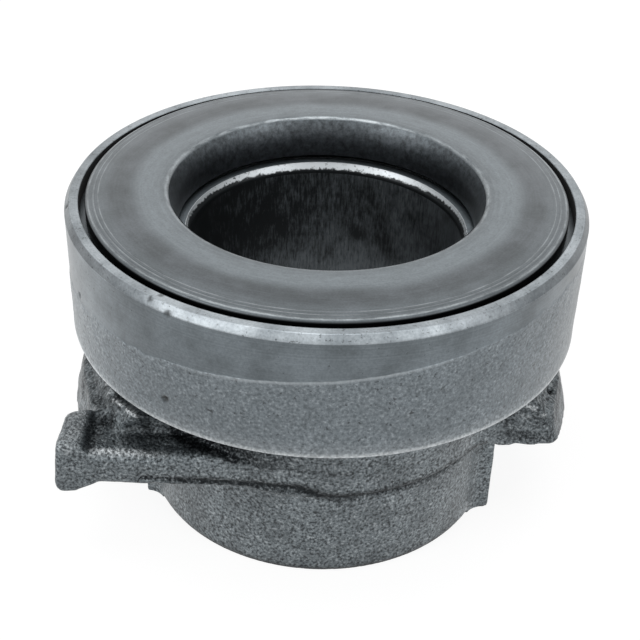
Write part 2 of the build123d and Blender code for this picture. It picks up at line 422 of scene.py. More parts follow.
# painted light and shade: brighter or darker by turn, and darker in the nicks
shadeByTurn = addNode(tree, "Attribute", attribute_name="shadeByTurn", output="Fac")
color = addNode(tree, "VectorMath", {0: color, "Scale": shadeByTurn}, operation="SCALE")
pores = addNode(  # the -X side is full of open pores, also where it is turned
    tree, "TexNoise", {"Vector": place, "Scale": 1 / (0.9 * mm), "Detail": 3.0, "Roughness": 0.65}
)
side = addNode(
    tree, "MapRange",
    {"Value": x, "From Min": -56 * mm, "From Max": -38 * mm, "To Min": 0.09, "To Max": 0.0},
)
pores = addNode(tree, "Math", {0: pores, 1: side}, operation="SUBTRACT")
pores = addNode(tree, "MapRange", {"Value": pores, "From Min": 0.25, "From Max": 0.33})
color = addNode(tree, "Mix", {0: pores, 6: iron["castDark"], 7: color}, data_type="RGBA", output=2)
rough = addNode(tree, "Mix", {0: share, 2: castRough, 3: rough})
height = addNode(tree, "Math", {0: height, 1: 0.03}, operation="MULTIPLY")
height = addNode(tree, "Mix", {0: share, 2: castHeight, 3: height})
shadeWith(tree, color, rough, height, relief=0.16, metallic=0.9, oil=0.6)

# The rim: turned iron rubbed bright by handling
rimIron, tree, place = newSurface("greyIronTurnedWornShaded")
color, rough, height = turnedLook(tree, place, iron["rim"], iron["rimStain"])
# painted light and shade: brighter or darker by turn, and darker in the nicks
shadeByTurn = addNode(tree, "Attribute", attribute_name="shadeByTurn", output="Fac")
pits = spotted(  # small open pores of the iron, which stay dark
    tree, place, size=0.8, detail=3.0, roughness=0.7, low=0.32, high=0.41, least=0.4
)
shadeByTurn = addNode(tree, "Math", {0: shadeByTurn, 1: pits}, operation="MULTIPLY")
color = addNode(tree, "VectorMath", {0: color, "Scale": shadeByTurn}, operation="SCALE")
shadeWith(tree, color, rough, height, relief=0.01, metallic=1.0, oil=0.3)

# Plain turned iron of the seat, the floor of the cup and the end face
plainIron, tree, place = newSurface("greyIronTurned")
color, rough, height = turnedLook(tree, place, iron["turned"], iron["turnedStain"])
shadeWith(tree, color, rough, height, relief=0.01, metallic=1.0, oil=0.3)

# The inside of the cup, which only shows in the gap: turned iron with old grease, painted near black as
# the shade down in the gap
gapIron, tree, place = newSurface("greyIronGreasedShaded")
color, rough, height = turnedLook(tree, place, iron["gap"], iron["greaseAndShade"])
shadeWith(tree, color, 0.95, height, relief=0.01, metallic=0.0, oil=0.0)

# The bore: bored iron gone dark with old grease, with streaks along its length
boreIron, tree, place = newSurface("greyIronBoredDark")
stretch = addNode(tree, "Mapping", {"Vector": place, "Scale": (1.0, 1.0, 0.16)})
streak = addNode(
    tree, "TexNoise", {"Vector": stretch, "Scale": 1 / (0.45 * mm), "Detail": 4.0, "Roughness": 0.7}
)
smudge = addNode(
    tree, "TexNoise", {"Vector": place, "Scale": 1 / (8 * mm), "Detail": 6.0, "Roughness": 0.7}
)
mixed = addNode(tree, "Math", {0: streak, 1: smudge}, operation="MULTIPLY")
sides = addNode(tree, "SeparateXYZ", {0: place}, output=None)
mixed = addNode(  # painted light: the +X side is made paler
    tree, "Math", {0: sides.outputs[0], 1: 3.0, 2: mixed}, operation="MULTIPLY_ADD"
)
deep = addNode(  # and it is made paler far down
    tree, "MapRange",
    {"Value": sides.outputs[2], "From Min": 34 * mm, "From Max": 47 * mm, "To Min": 0.10, "To Max": 0.0},
)
mixed = addNode(tree, "Math", {0: mixed, 1: deep}, operation="ADD")
pale = addNode(tree, "MapRange", {"Value": mixed, "From Min": 0.20, "From Max": 0.40})
color = addNode(
    tree, "Mix", {0: pale, 6: iron["bore"], 7: iron["boreSmudgeAndLight"]}, data_type="RGBA", output=2
)
rough = addNode(tree, "MapRange", {"Value": streak, "To Min": 0.35, "To Max": 0.6})
shadeWith(tree, color, rough, streak, relief=0.02, metallic=0.9, oil=0.3)

# The lead-in of the tube: chamfered iron, kept bright by the quill, with a ragged lower end
leadIron, tree, place = newSurface("greyIronChamferBright")
ragged = addNode(
    tree, "TexNoise", {"Vector": place, "Scale": 1 / (1.1 * mm), "Detail": 3.0, "Roughness": 0.6}
)
parts = addNode(tree, "SeparateXYZ", {0: place}, output=None)
rise = addNode(tree, "Math", {0: ragged, 1: 1.6 * mm, 2: parts.outputs[2]}, operation="MULTIPLY_ADD")
sides = addNode(tree, "Math", {0: parts.outputs[0]}, operation="ABSOLUTE")
sides = addNode(  # the bright band narrows toward both sides
    tree, "MapRange", {"Value": sides, "From Min": 12 * mm, "From Max": 28 * mm, "To Max": 0.65 * mm}
)
rise = addNode(tree, "Math", {0: rise, 1: sides}, operation="SUBTRACT")
bright = addNode(tree, "MapRange", {"Value": rise, "From Min": 63.95 * mm, "From Max": 64.25 * mm})
chips = spotted(tree, place, size=0.9, detail=4.0, roughness=0.7, low=0.30, high=0.42)
bright = addNode(tree, "Math", {0: bright, 1: chips}, operation="MULTIPLY")
color = addNode(tree, "Mix", {0: bright, 6: iron["bore"], 7: iron["leadIn"]}, data_type="RGBA", output=2)
rough = addNode(tree, "MapRange", {"Value": ragged, "To Min": 0.35, "To Max": 0.60})
shadeWith(tree, color, rough, ragged, relief=0.05, metallic=0.95, oil=0.3)
print("iron materials done")


# The cup, spun: turned outside and inside, with the sleeve of the bore

cup = {
    # mm
    "neckRadius": 42.0,
    "neckRound": 4.0,
    "under": 45.8,  # height of its underside
    "radius": 56.22,
    "top": 74.0,
    "inside": 53.1,
    "floor": 53.2,
    "seat": (54.1, 68.952, 70.652),  # radius and heights of the seat of the snap ring
    "tubeRadius": 33.4,
    "tubeTop": 64.7,
    "boreRadius": 30.0,
    "leadInEnd": 62.95,
    "steps": 640,
    "lineHeight": 64.0,  # the turned band ends here at the front, in mm above the floor
    "lineSlope": 0.09,  # and rises towards +X, because the casting sat askew in the chuck
    "lineRagged": (0.10, 1.0),  # how ragged it is at the front, and how much more at the sides
    "proud": 0.15,  # the cast skin stands this far outside the turned band
    "relief": ((9.0, 0.10), (3.5, 0.06), (1.6, 0.05)),  # size and height of the lumps
    "wall": (46.3, 72.25),  # the heights between which the wall is shaped
    "zones": (
        # material, radii and heights between which its faces lie; the first that fits counts
        ("gap", 53.0, 53.25, 53.3, 73.7),
        ("rim", 53.0, 57.0, 72.35, 75.0),
        ("neck", 41.0, 55.95, 0.0, 46.0),
        ("wall", 55.5, 57.0, 0.0, 72.4),
        ("wall", 41.0, 57.0, 0.0, 46.3),
        ("leadIn", 29.0, 31.2, 62.0, 64.8),
        ("bore", 29.0, 30.5, 1.0, 75.0),
        ("gap", 53.0, 55.0, 53.3, 73.7),
    ),
    # Painted light and shade: how bright the metal is made on each side, by turn in degrees from +X
    "topWear": (
        (0, 1.07), (60, 1.05), (120, 1.3), (160, 1.0), (180, 0.82), (210, 1.14), (240, 1.2),
        (270, 1.38), (300, 1.06), (330, 1.18), (360, 1.07),
    ),
    "chamferWear": (
        (0, 0.85), (60, 1.0), (120, 1.0), (180, 0.95), (200, 0.85), (212, 0.68), (228, 0.9),
        (240, 1.08), (255, 1.5), (270, 1.85), (285, 1.5), (300, 0.97), (330, 0.68), (350, 0.68),
        (360, 0.8),
    ),
    "wallWear": (
        (0, 0.95), (90, 1.0), (160, 1.2), (195, 1.26), (212, 1.38), (228, 1.08), (242, 1.02),
        (310, 1.12), (330, 1.04), (345, 0.93), (360, 0.95),
    ),
    "nicks": (
        # turn in degrees, radius, height, size and depth in mm
        (-169, 55.6, 73.6, 0.9, 0.35),
        (-126, 55.4, 73.7, 0.8, 0.30),
        (-121, 56.0, 72.4, 0.9, 0.30),
        (-124.6, 53.6, 74.0, 0.7, 0.25),
        (-153.3, 56.2, 61.0, 1.0, 0.45),
        (-122.5, 56.2, 52.1, 1.0, 0.50),
    ),
    "nickDown": 73.5,  # a nick above this height is pressed down as well as in
}
cupMaterials = {
    "wall": cupIron,
    "rim": rimIron,
    "plain": plainIron,
    "bore": boreIron,
    "leadIn": leadIron,
    "gap": gapIron,
    "neck": castIron,
}


def castRelief(point):  # the unevenness of a sand-cast face, in mm
    return sum(height * noise.noise(point / (size * mm)) for size, height in cup["relief"])


def turnedDepth(point):  # how far above the edge of the turned band, in mm
    x = point.x / mm
    least, more = cup["lineRagged"]
    ragged = least + more * smoothStep(18, 52, abs(x))
    line = cup["lineHeight"] + cup["lineSlope"] * x
    line += ragged * (noise.noise(point / (3 * mm)) + 0.6 * noise.noise(point / (1.2 * mm)))
    return point.z / mm - line


def cupZone(radius, height):  # which surface of the cup a place belongs to
    for zone, nearest, farthest, lowest, highest in cup["zones"]:
        if nearest < radius < farthest and lowest < height < highest:
            return zone
    return "plain"


def cupProfile():  # from the end of the neck out, up, over the rim, and down the bore
    neck, rounding, under = cup["neckRadius"], cup["neckRound"], cup["under"]
    outer, top, inside, tube = cup["radius"], cup["top"], cup["inside"], cup["tubeRadius"]
    bore, tubeTop, leadInEnd = cup["boreRadius"], cup["tubeTop"], cup["leadInEnd"]
    seat, seatLow, seatHigh = cup["seat"]
    points = [(38.5, 34.6), (41.6, 34.6)]  # this end lies hidden inside the casting
    points += along((41.7, 34.8), (neck, under - rounding), 0.7)
    points += arc((neck + rounding, under - rounding), rounding, 180, 90, 7)
    points += along((neck + rounding + 0.5, under), (outer - 0.32, under), 0.6)
    points += [(outer - 0.32, under), (outer - 0.06, under + 0.08), (outer, under + 0.3)]
    points += along((outer, under + 0.7), (outer, top - 1.8), 0.46)
    points += [(outer - 0.12, top - 1.7), (outer - 0.15, top - 1.5)]
    points += along((56.0, 72.62), (55.2, 73.85), 0.4)  # the chamfer
    points += [(55.12, 73.94), (55.0, 73.99)]
    points += along((54.9, top), (inside + 0.2, top), 0.5)
    points += [(inside + 0.2, top), (inside + 0.08, top - 0.03), (inside, top - 0.15)]
    points += along((inside, top - 0.6), (inside, seatHigh), 0.7)
    points += [(inside, seatHigh), (seat, seatHigh), (seat, seatLow), (inside, seatLow)]
    points += [(inside, cup["floor"]), (tube, cup["floor"]), (tube, tubeTop - 0.15)]
    points += [(tube - 0.15, tubeTop), (31.0, tubeTop), (30.9, tubeTop - 0.04)]
    points += along((30.88, tubeTop - 0.1), (bore, leadInEnd), 0.35)
    points += along((bore, leadInEnd), (bore, 58.0), 0.7)
    points += [(bore, 58.0), (bore, 1.0), (bore + 1.0, 0.0)]
    points += [(39.6, 0.0), (39.8, 0.2), (38.5, 1.0)]  # the end face of the hub
    return points


cupPiece = spinProfile("carrierCup", cupProfile(), cup["steps"])
for material in cupMaterials.values():
    cupPiece.data.materials.append(material)
for face in cupPiece.data.polygons:
    zone = cupZone(math.hypot(face.center.x, face.center.y) / mm, face.center.z / mm)
    face.material_index = list(cupMaterials).index(zone)

depths, spots = [], []
wallLow, wallHigh = cup["wall"]
for vertex in cupPiece.data.vertices:
    spot, normal = vertex.co.copy(), vertex.normal.copy()
    radius, height = math.hypot(spot.x, spot.y) / mm, spot.z / mm
    outward = Vector((spot.x, spot.y, 0)).normalized()
    depth = 5.0 if height >= wallHigh else -5.0  # well inside the turned or the cast part
    if radius > 55.5 and wallLow < height < wallHigh:
        depth = turnedDepth(spot)
        cast = smoothStep(0.25, -0.35, depth)
        lumps = min(0.0, castRelief(spot) - 0.06) * smoothStep(46.0, 48.5, height)
        spot += outward * mm * (cast * lumps - (1 - cast) * cup["proud"])
    elif radius > 41.5 and height < wallLow:
        sink = 0.25 * smoothStep(37.0, 35.0, height)  # its end lies under the casting's skin
        spot += normal * mm * (castRelief(spot) * smoothStep(55.8, 54, radius))
        spot -= outward * mm * sink
    depths.append(depth)
    spots.extend(spot)
cupPiece.data.vertices.foreach_set("co", spots)

grimeAndShade = [0.0] * len(cupPiece.data.vertices)
for turn, radius, height, size, deep in cup["nicks"]:
    turn = math.radians(turn)
    spot = Vector((radius * math.cos(turn), radius * math.sin(turn), height))
    inward = -Vector((spot.x, spot.y, 0)).normalized()
    if height > cup["nickDown"]:
        inward = (inward + Vector((0, 0, -1))).normalized()
    for vertex in cupPiece.data.vertices:
        gap = (vertex.co / mm - spot).length / size
        if gap < 1:
            vertex.co += inward * mm * deep * (1 - gap * gap) ** 2
            grimeAndShade[vertex.index] = 0.9 * smoothStep(1.0, 0.4, gap)

paintedHighlight, shadeByTurn = [], []
for vertex in cupPiece.data.vertices:  # painted highlight along the lowest edge of the wall, and painted light and shade by turn
    radius, height = vertex.co.xy.length / mm, vertex.co.z / mm
    edge = 0.5 * smoothStep(46.8, 46.2, height) + 0.1 * smoothStep(50, 46.5, height)
    paintedHighlight.append(edge if radius > 55.5 and height < 50 else 0.0)
    turn = math.degrees(math.atan2(vertex.co.y, vertex.co.x)) % 360
    zone = "topWear" if radius < 55.1 else "chamferWear" if height > 72.35 else "wallWear"
    shadeByTurn.append(between(cup[zone], turn) * (1 - 0.85 * grimeAndShade[vertex.index]))
storeAttributes(cupPiece, {
    "turnedDepth": depths, "paintedHighlight": paintedHighlight, "shadeByTurn": shadeByTurn, "grimeAndShade": grimeAndShade,
    "seamGap": [20.0] * len(grimeAndShade), "seamHalf": [1.0] * len(grimeAndShade),  # no seam on this piece
})
finishPiece(cupPiece, "carrier", ["carrier"])
print("cup done:", len(cupPiece.data.polygons), "faces")


# Hub, neck and wings, as cast

casting = {
    # mm
    "voxel": 0.55,
    "rounding": 3,  # passes of smoothing, which round the corners as sand does
    "topCut": 40.0,  # the piece ends here, inside the neck of the cup
    "boreWall": 31.3,  # faces inside this are the cup's, and go
    "coreRadius": 38.5,
    "hubRadius": 40.8,
    "groove": (0.45, 1.1),  # how deep the seam is sunk, and half its width
    # The round between pad and hub: its centre, its radius and the side of the pad
    "corners": ((39.37, -22.4, 4.5, -17.9), (-40.35, -20.6, 4.5, -16.1)),
    "cornerHeight": 22.2,
    # The next four tables go by x, seen from the front
    "blackFrom": (  # the height from which the neck is painted black as the shadow under the edge of the cup
        (-60, 25.0), (-30, 25.5), (-25, 26.5), (-20, 27.6), (-14, 28.1), (-8, 29.2), (60, 31.0),
    ),
    "blackShare": (
        (-60, 1.0), (-18, 1.0), (-14, 0.85), (-8, 0.65), (-3, 0.35), (4, 0.0), (60, 0.0),
    ),
    "seamHeight": (  # the seam under arm and neck, painted black as the step's shadow
        (-60, 24.8), (-33, 24.7), (-29, 24.4), (-20, 24.3), (-14, 24.0), (-8, 24.8), (-4, 25.2),
        (-2.4, 24.6), (0.2, 23.5), (1.5, 23.1), (5, 22.6), (20, 22.5), (30, 22.4), (60, 22.4),
    ),
    "seamHalf": (
        (-60, 0.01), (-40, 0.01), (-35, 0.6), (-28, 1.1), (-20, 1.3), (-8, 1.35), (-3, 1.6),
        (3, 1.6), (7, 1.6), (14, 1.55), (30, 1.6), (38, 1.8), (60, 1.8),
    ),
    "lumps": (
        # from, to, size, height, how black, how bright: flaws that the sand left; how bright is a
        # painted highlight
        ((51.5, -14.1, 31.6), (51.5, -13.6, 31.6), 1.5, -0.8, 1.0, 0.0),
        ((45.6, -21.4, 33.6), (47.4, -21.4, 32.5), 0.8, 0.35, 0.0, 0.9),
        ((48.2, -21.3, 32.0), (49.6, -21.4, 31.0), 0.7, 0.30, 0.0, 0.9),
        ((43.2, -21.4, 31.5), (46.2, -21.4, 29.9), 0.7, 0.30, 0.0, 0.3),
        ((44.6, -20.6, 31.4), (47.0, -21.3, 29.6), 1.2, -0.5, 0.6, 0.0),
        ((40.5, -21.2, 22.8), (42.5, -21.2, 22.8), 1.8, 0.6, 0.0, 0.1),
        ((-45.1, -25.9, 34.6), (-42.4, -28.4, 35.2), 0.7, 0.35, 0.0, 0.9),
        ((-41.2, -30.0, 35.3), (-38.9, -32.0, 35.3), 0.7, 0.35, 0.0, 0.9),
        ((-48.3, -20.5, 34.8), (-45.6, -21.4, 35.3), 0.8, 0.30, 0.0, 0.6),
        ((-47.4, -24.4, 33.6), (-45.6, -23.4, 35.2), 0.8, 0.30, 0.0, 0.5),
        ((-47.5, -27.5, 31.8), (-44.0, -28.5, 31.6), 1.3, -0.5, 0.7, 0.0),
        ((-43.0, -30.0, 31.6), (-40.5, -31.5, 31.4), 1.0, 0.4, 0.0, 0.4),
    ),
    # Soft limits of the patches of painted shade, grease and painted highlight: a direction, none here,
    # full here
    "neckBand": (("radius", 49, 44), ("y", -10, -20), ("height", 38, 34.5)),
    "recess": (
        ("x", -45.0, -47.5), ("x", -50.6, -49.8), ("y", -27, -29), ("y", -39.3, -38.3),
        ("height", 27, 29), ("height", 32.2, 31.4),
    ),
    "wings": (("radius", 44, 47),),
    "pocketWall": (("radius", 44, 47), ("y", -37, -34), ("height", 26, 29)),
    "lugTop": (("x", -49.3, -50.2), ("y", -25.5, -26.5)),
    "rightLug": (("radius", 52, 55), ("x", 30, 40)),
    "neckFront": (("height", 26, 28), ("x", 12, 4), ("x", -30, -24), ("radius", 44.5, 43.5)),
    "hubFront": (("aside", 22, 8), ("y", -30, -36)),
    "foot": (("height", 10, 0),),
    "underRightArm": (
        ("height", 22.6, 23.6), ("height", 26.8, 25.4), ("x", 40, 43), ("y", -20.2, -20.9),
    ),
    "armEdge": (("x", -50, -46), ("x", -30, -37), ("height", 29.2, 30.2)),
    "lugCrest": (("x", -49.5, -50.5), ("y", -26, -27), ("height", 31.2, 32)),
    "armEdgeY": -38.4,
    "lugTip": (-52.6, -38.9, 31.6),
    "padCorners": ((37.5, -18.5), (-37.5, -16.1)),
}
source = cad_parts["carrier"]
castPiece = bpy.data.objects.new("carrierCasting", source.data.copy())
bpy.context.scene.collection.objects.link(castPiece)
editMesh(castPiece)
onAll(bpy.ops.mesh.remove_doubles, threshold=weld / 2)
onAll(
    bpy.ops.mesh.bisect,
    plane_co=(0, 0, casting["topCut"] * mm), plane_no=(0, 0, 1), clear_outer=True,
)
selectFaces(castPiece, lambda center: math.hypot(center.x, center.y) < casting["boreWall"] * mm)
bpy.ops.mesh.delete(type="FACE")
bpy.ops.mesh.select_mode(type="EDGE")
onAll(bpy.ops.mesh.fill_holes, sides=0)
onAll(bpy.ops.mesh.normals_make_consistent, inside=False)
bpy.ops.object.mode_set(mode="OBJECT")
remesh = castPiece.modifiers.new("remesh", "REMESH")
remesh.mode = "VOXEL"
remesh.voxel_size = casting["voxel"] * mm
bpy.ops.object.modifier_apply(modifier="remesh")
relax = castPiece.modifiers.new("relax", "SMOOTH")
relax.factor = 0.5
relax.iterations = casting["rounding"]
bpy.ops.object.modifier_apply(modifier="relax")
print("casting remeshed:", len(castPiece.data.polygons), "faces")


def inFront(point):  # the carrier is the same when turned by half a turn, so only -Y is told
    x, y, height = point / mm
    return (-x, -y, height) if y > 0 else (x, y, height)


def seamAt(point):  # how far above the seam, and half its width, in mm
    x, y, height = inFront(point)
    half = between(casting["seamHalf"], x) * smoothStep(-12, -20, y)
    if x > -2:
        half *= smoothStep(44.5, 43, math.hypot(x, y))
    gap = height - between(casting["seamHeight"], x)
    return gap + 6 * (1 - smoothStep(0.0, 0.3, half)), half


def grooveDepth(point):
    gap, half = seamAt(point)
    deep, reach = casting["groove"]
    return deep * (smoothStep(0, 0.5, half) * max(0.0, 1 - abs(gap) / reach))


def roundOff(x, y, corner):  # moves a place beside a pad onto the round that joins pad and hub
    centerX, centerY, radius, side = corner
    overX, overY = x - centerX, y - centerY
    reach = math.hypot(overX, overY)
    turned = centerX * (centerY * overX - centerX * overY)
    touching = abs(y - side) < 0.5 or abs(math.hypot(x, y) - casting["hubRadius"]) < 0.5
    if touching and turned <= 0 and centerX * overX <= 0 and radius < reach < radius + 1.6:
        return centerX + overX * radius / reach, centerY + overY * radius / reach
    return x, y


def unevenness(spot, y, height, radius):  # how far the skin stands out, in mm
    wing = smoothStep(42.5, 46, radius)
    wing *= 1.0 + 0.8 * smoothStep(-38.6, -37.5, y) * smoothStep(27, 30, height)
    lumps = castRelief(spot)
    lumps += wing * 0.2 * noise.noise(spot / (4.5 * mm) + Vector((7, 3, 1)))
    lumps += wing * 0.1 * noise.noise(spot / (2.2 * mm) + Vector((1, 5, 2)))
    for start, end, size, tall, dark, light in casting["lumps"]:
        lumps += tall * smoothStep(size, 0, nearLine(spot / mm, start, end))
    return lumps


def darkPatches(point, place):  # how dark it is made, from 0 to 1: painted shade under the cup's edge, in the recess and pocket, under the right arm, on the hub's front and toward the floor, and old grease on the wings and in streaks
    x, y, height, radius = (place[name] for name in ("x", "y", "height", "radius"))
    edge = between(casting["blackFrom"], x) + 0.8 * noise.noise(point / (4 * mm))
    edge += max(0.0, radius - 42)  # further out, the same edge is seen higher up
    neck = smoothStep(edge - 0.6, edge + 0.8, height) * softBox(place, casting["neckBand"])
    neck *= between(casting["blackShare"], x)
    neck *= max(
        smoothStep(43.6, 42.6, radius), smoothStep(-38.6, -36.8, y), smoothStep(-31, -25, x)
    )
    blotches = 0.46 + 0.7 * noise.noise(point / (3.5 * mm))
    pocket = softBox(place, casting["pocketWall"]) * (1 - softBox(place, casting["lugTop"]))
    streaks = 0.8 * noise.noise(Vector((x / 6, y / 6, height)))
    return max(
        neck,
        0.8 * softBox(place, casting["recess"]),
        0.16 * softBox(place, casting["wings"]),
        blotches * pocket,
        0.3 * softBox(place, casting["rightLug"]),
        streaks * softBox(place, casting["neckFront"]),
        0.10 * softBox(place, casting["hubFront"]),
        0.16 * softBox(place, casting["foot"]),
        0.55 * softBox(place, casting["underRightArm"]),
    )


def brightPatches(place):  # how strong the painted highlight is on the arm's edge, the lug's tip and its crest, from 0 to 1
    x, y, height = place["x"], place["y"], place["height"]
    ridge = max(0.0, 1 - abs(y - casting["armEdgeY"]) / 1.2)
    tip = max(0.0, 1 - math.dist((x, y, height), casting["lugTip"]) / 1.8)
    return max(
        0.65 * ridge * softBox(place, casting["armEdge"]),
        0.5 * tip,
        0.16 * softBox(place, casting["lugCrest"]),
    )


spots = []
for vertex in castPiece.data.vertices:
    spot, normal = vertex.co.copy(), vertex.normal.copy()
    radius = spot.xy.length / mm
    outward = Vector((spot.x, spot.y, 0)).normalized()
    x, y, height = inFront(spot)
    lumps = unevenness(spot, y, height, radius)
    roundedX, roundedY = x, y
    if height < casting["cornerHeight"]:
        for corner in casting["corners"]:
            roundedX, roundedY = roundOff(roundedX, roundedY, corner)
    if (roundedX, roundedY) != (x, y):
        side = -1 if spot.y > 0 else 1
        spot.x, spot.y = roundedX * side * mm, roundedY * side * mm
    elif height < 21 and 40.0 < radius < 41.4 and abs(spot.x) < 38.4 * mm:
        edge = 0.5 * smoothStep(1.2, 0.0, height)  # the remesh leaves steps on the hub
        spot += outward * mm * (casting["hubRadius"] - edge - radius)
        normal = outward
    flat = smoothStep(1.2, 0.2, height)  # the end face of the hub stays flat
    groove = grooveDepth(spot)
    spot += normal * mm * lumps * (1 - flat)
    spot -= outward * mm * (groove + 0.25 * smoothStep(37, 39.5, height))
    spot.z += 0.1 * mm * flat
    spots.extend(spot)
castPiece.data.vertices.foreach_set("co", spots)
bpy.ops.mesh.primitive_cylinder_add(
    vertices=192, radius=casting["coreRadius"] * mm, depth=60 * mm, location=(0, 0, 20 * mm)
)
core = bpy.context.active_object
only(castPiece)
cut = castPiece.modifiers.new("core", "BOOLEAN")
cut.operation = "DIFFERENCE"
cut.object = core
cut.solver = "EXACT"
bpy.ops.object.modifier_apply(modifier="core")
bpy.data.objects.remove(core)
castPiece.data.materials.clear()
castPiece.data.materials.append(castIron)
for face in castPiece.data.polygons:
    face.material_index = 0

grimeAndShade, paintedHighlight, seamGap, seamHalf = [], [], [], []
for vertex in castPiece.data.vertices:
    gap, half = seamAt(vertex.co)
    seamGap.append(gap)
    seamHalf.append(max(0.01, half))
    x, y, height = inFront(vertex.co)
    place = {"x": x, "y": y, "height": height, "radius": math.hypot(x, y), "aside": abs(x)}
    black, bright = darkPatches(vertex.co, place), brightPatches(place)
    for start, end, size, tall, dark, light in casting["lumps"]:
        share = smoothStep(size, size * 0.3, nearLine(vertex.co / mm, start, end))
        black = max(black - 0.6 * light * share, dark * share)
        bright = max(bright, light * share)
    if height < 22.3:  # the corners beside the pads get less painted shade, though they are hollow
        away = min(math.dist((x, y), corner) for corner in casting["padCorners"])
        black -= 0.7 * smoothStep(8, 3.5, away)
    grimeAndShade.append(black)
    paintedHighlight.append(bright)
attributes = {"grimeAndShade": grimeAndShade, "paintedHighlight": paintedHighlight, "seamGap": seamGap, "seamHalf": seamHalf}
storeAttributes(castPiece, attributes)
finishPiece(castPiece, "carrier", ["carrier"], angle=50)
print("casting done:", len(castPiece.data.polygons), "faces")


# Thrust ring

steel = {
    "face": "#4f5458",
    "faceStain": "#42474a",
    "annulus": "#666d71",
    "throat": "#3a3e42",
    "throatTop": "#595f63",
    "lines": "#a9afb2",
}
ring = {
    # mm
    "inner": 34.25,  # radius of the sharp edge between throat and face
    "outer": 51.75,
    "top": 74.862,  # height of that edge
    "fall": 0.3,  # how much lower the face is at its outer edge
    "crown": 0.25,
    "ridge": 1.0,  # the round between throat and face
    "corner": 0.8,
    "throat": 32.4,
    "throatFoot": 66.712,
    "bottom": 65.812,
    "seat": (49.7, 68.702, 71.302),  # radius and heights of the groove for the snap ring
    "grooves": ((48.9, 0.16, 0.03), (49.7, 0.16, 0.03), (50.5, 0.2, 0.04)),  # radius, width, depth
    "marks": (  # radius, width and strength of the bright rings; the first, on the ridge, is a painted highlight
        (34.55, 0.70, 0.8), (48.9, 0.20, 0.38), (49.9, 0.20, 0.34), (51.1, 0.34, 0.55),
    ),
    "steps": 512,
}

# Bearing steel, hardened and ground, worn matt by the clutch fingers: fine rings, a paler
# band round the throat where they run, a blotchy grey patina outside it, painted shade in the throat and
# on the flank, and a painted highlight on the ridge
ringSteel, tree, place = newSurface("bearingSteelGroundWorn")
parts = addNode(tree, "SeparateXYZ", {0: place}, output=None)
flat = addNode(tree, "CombineXYZ", {0: parts.outputs[0], 1: parts.outputs[1]})
radius = addNode(tree, "VectorMath", {0: flat}, operation="LENGTH", output="Value")
lines = addNode(
    tree, "TexNoise", {"W": radius, "Scale": 1 / (0.5 * mm), "Detail": 3.0}, noise_dimensions="1D"
)
around = addNode(tree, "VectorMath", {0: flat}, operation="NORMALIZE")
around = addNode(tree, "VectorMath", {0: around, "Scale": 9.0}, operation="SCALE")
rings = addNode(tree, "Math", {0: radius, 1: 1 / (0.9 * mm)}, operation="MULTIPLY")
rings = addNode(tree, "CombineXYZ", {2: rings})
swirl = addNode(tree, "VectorMath", {0: around, 1: rings}, operation="ADD")
streak = addNode(  # smears 5 mm long and 1 mm wide that run round the face
    tree, "TexNoise", {"Vector": swirl, "Scale": 1.0, "Detail": 4.0, "Roughness": 0.65}
)
patch = addNode(
    tree, "TexNoise", {"Vector": place, "Scale": 1 / (8 * mm), "Detail": 6.0, "Roughness": 0.62}
)
speck = addNode(tree, "TexNoise", {"Vector": place, "Scale": 1 / (0.4 * mm)})
wave = addNode(tree, "TexNoise", {"Vector": place, "Scale": 1 / (22 * mm)})
edgeOfBand = addNode(tree, "Math", {0: wave, 1: 3.0 * mm, 2: radius}, operation="MULTIPLY_ADD")
edgeOfBand = addNode(tree, "Math", {0: streak, 1: 1.6 * mm, 2: edgeOfBand}, operation="MULTIPLY_ADD")
band = addNode(
    tree, "MapRange",
    {"Value": edgeOfBand, "From Min": 42.0 * mm, "From Max": 45.6 * mm, "To Min": 1.0, "To Max": 0.0},
    interpolation_type="SMOOTHSTEP",
)
start = addNode(
    tree, "MapRange", {"Value": edgeOfBand, "From Min": 36.5 * mm, "From Max": 40.0 * mm, "To Min": 0.45}
)
band = addNode(tree, "Math", {0: band, 1: start}, operation="MULTIPLY")
outer = addNode(  # a little of the same toward the edge
    tree, "MapRange", {"Value": radius, "From Min": 46.0 * mm, "From Max": 47.8 * mm, "To Max": 0.32}
)
band = addNode(tree, "Math", {0: band, 1: outer}, operation="MAXIMUM")
blotch = addNode(tree, "MapRange", {"Value": patch, "From Min": 0.38, "From Max": 0.62})
color = addNode(
    tree, "Mix", {0: blotch, 6: steel["face"], 7: steel["faceStain"]}, data_type="RGBA", output=2
)
color = addNode(tree, "Mix", {0: band, 6: color, 7: steel["annulus"]}, data_type="RGBA", output=2)
rear = addNode(  # painted highlight: the ridge is bright at the back over a sixth of a turn, and fainter elsewhere
    tree, "MapRange",
    {"Value": parts.outputs[1], "From Min": 30.5 * mm, "From Max": 33.0 * mm, "To Min": 0.55},
)
broken = addNode(tree, "MapRange", {"Value": streak, "From Min": 0.32, "From Max": 0.58})
for middle, width, share in ring["marks"]:  # fine bright rings left by the grinding wheel, and a painted highlight on the ridge
    gap = addNode(tree, "Math", {0: radius, 1: middle * mm}, operation="SUBTRACT")
    gap = addNode(tree, "Math", {0: gap}, operation="ABSOLUTE")
    mark = addNode(
        tree, "MapRange", {"Value": gap, "From Max": width * mm, "To Min": share, "To Max": 0.0}
    )
    mark = addNode(tree, "Math", {0: mark, 1: broken}, operation="MULTIPLY")
    if middle < ring["inner"] + ring["ridge"]:  # the one on the ridge
        mark = addNode(tree, "Math", {0: mark, 1: rear}, operation="MULTIPLY")
    color = addNode(tree, "Mix", {0: mark, 6: color, 7: steel["lines"]}, data_type="RGBA", output=2)
